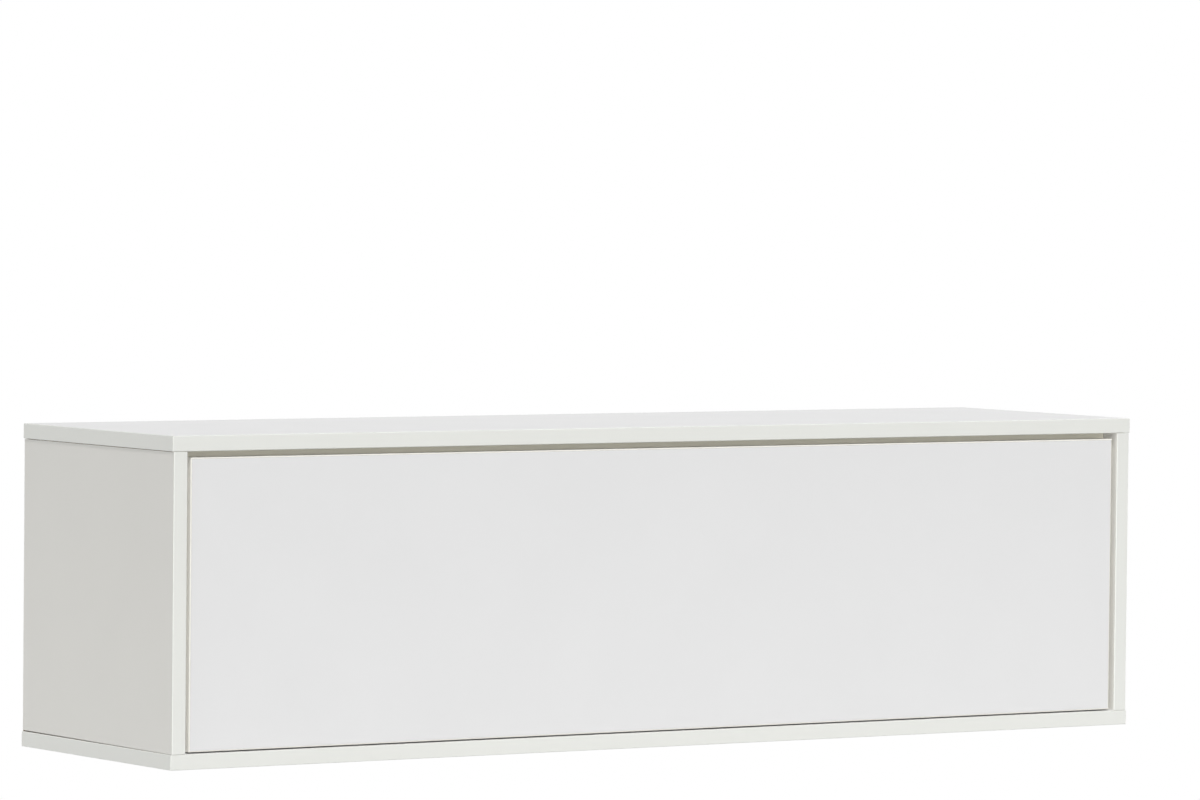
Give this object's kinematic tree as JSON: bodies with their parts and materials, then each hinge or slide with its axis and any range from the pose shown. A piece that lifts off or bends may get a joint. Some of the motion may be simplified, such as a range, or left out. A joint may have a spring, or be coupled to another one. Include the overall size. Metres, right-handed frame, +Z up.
{
  "type": "wall cabinet",
  "caption": "Wall-hung white media cabinet, divided inside, with a wide drop-down flap on concealed hinges, brake stays and push latches.",
  "frame": {"origin": "middle of the four wall screw holes, on the wall plane", "axes": "+X along the cabinet, +Y from the room to the wall, +Z up"},
  "size_m": [1.22, 0.315, 0.34],
  "materials": {
    "white_melamine": "satin",
    "white_edging": "satin",
    "hardboard": "matte",
    "beech": "matte",
    "zinc": "satin",
    "plated_steel": "satin",
    "white_plastic": "satin",
    "grey_plastic": "matte",
    "magnet_steel": "satin"
  },
  "bodies": {
    "carcass": {"back_panel": "hardboard", "bottom_edging": "white_edging", "bottom_panel": "white_melamine", "cam_bolts": "plated_steel", "cam_caps": "white_plastic", "cam_locks": "zinc", "centre_divider": "white_melamine", "divider_edging": "white_edging", "dowels": "beech", "hinge_arm_1": "plated_steel", "hinge_arm_2": "plated_steel", "hinge_arm_3": "plated_steel", "hinge_arm_4": "plated_steel", "hinge_arm_screws": "plated_steel", "hinge_plate_1": "plated_steel", "hinge_plate_2": "plated_steel", "hinge_plate_3": "plated_steel", "hinge_plate_4": "plated_steel", "hinge_plate_screws": "plated_steel", "latch_housing_left": "grey_plastic", "latch_housing_right": "grey_plastic", "left_side": "white_melamine", "left_side_edging": "white_edging", "lower_hanging_rail": "white_melamine", "right_side": "white_melamine", "right_side_edging": "white_edging", "stay_base_left": "plated_steel", "stay_base_right": "plated_steel", "stay_base_screws": "plated_steel", "stop_rail": "white_melamine", "top_edging": "white_edging", "top_panel": "white_melamine", "upper_hanging_rail": "white_melamine"},
    "flap": {"flap_edging": "white_edging", "flap_panel": "white_melamine", "hinge_cup_1": "zinc", "hinge_cup_2": "zinc", "hinge_cup_3": "zinc", "hinge_cup_4": "zinc", "hinge_cup_screws": "plated_steel", "hinge_pins": "plated_steel", "stay_bracket_left": "plated_steel", "stay_bracket_right": "plated_steel", "stay_bracket_screws": "plated_steel", "stay_pins": "plated_steel", "strike_plates": "plated_steel", "strike_screws": "plated_steel"},
    "left_rod": {"rod_stop_left": "plated_steel", "stay_rod_left": "plated_steel"},
    "right_rod": {"rod_stop_right": "plated_steel", "stay_rod_right": "plated_steel"},
    "left_brake": {"brake_block_left": "grey_plastic", "brake_screw_left": "grey_plastic"},
    "right_brake": {"brake_block_right": "grey_plastic", "brake_screw_right": "grey_plastic"},
    "left_plunger": {"latch_magnet_left": "magnet_steel", "latch_plunger_left": "grey_plastic"},
    "right_plunger": {"latch_magnet_right": "magnet_steel", "latch_plunger_right": "grey_plastic"}
  },
  "joints": [
    {"name": "flap_hinge", "type": "hinge", "parent": "carcass", "child": "flap", "pos_m": [0, -0.304, -0.13034], "axis": [1, 0, 0], "range_deg": [0, 90]},
    {"name": "left_brake_swivel", "type": "hinge", "parent": "carcass", "child": "left_brake", "pos_m": [-0.5798, -0.22814, -0.05448], "axis": [1, 0, 0], "range_deg": [0, 45]},
    {"name": "left_rod_pivot", "type": "hinge", "parent": "flap", "child": "left_rod", "pos_m": [-0.5798, -0.282, -0.02534], "axis": [1, 0, 0], "range_deg": [-45, 0]},
    {"name": "left_latch_push", "type": "slide", "parent": "carcass", "child": "left_plunger", "axis": [0, 1, 0], "range_m": [0, 0.003], "stiffness_N_per_m": 250},
    {"name": "right_brake_swivel", "type": "hinge", "parent": "carcass", "child": "right_brake", "pos_m": [0.5798, -0.22814, -0.05448], "axis": [1, 0, 0], "range_deg": [0, 45]},
    {"name": "right_rod_pivot", "type": "hinge", "parent": "flap", "child": "right_rod", "pos_m": [0.5798, -0.282, -0.02534], "axis": [1, 0, 0], "range_deg": [-45, 0]},
    {"name": "right_latch_push", "type": "slide", "parent": "carcass", "child": "right_plunger", "axis": [0, 1, 0], "range_m": [0, 0.003], "stiffness_N_per_m": 250}
  ],
  "couplings": [
    {"joint": "left_brake_swivel", "follows": "flap_hinge", "ratio": 0.5},
    {"joint": "left_rod_pivot", "follows": "flap_hinge", "ratio": -0.5},
    {"joint": "right_brake_swivel", "follows": "flap_hinge", "ratio": 0.5},
    {"joint": "right_rod_pivot", "follows": "flap_hinge", "ratio": -0.5}
  ]
}
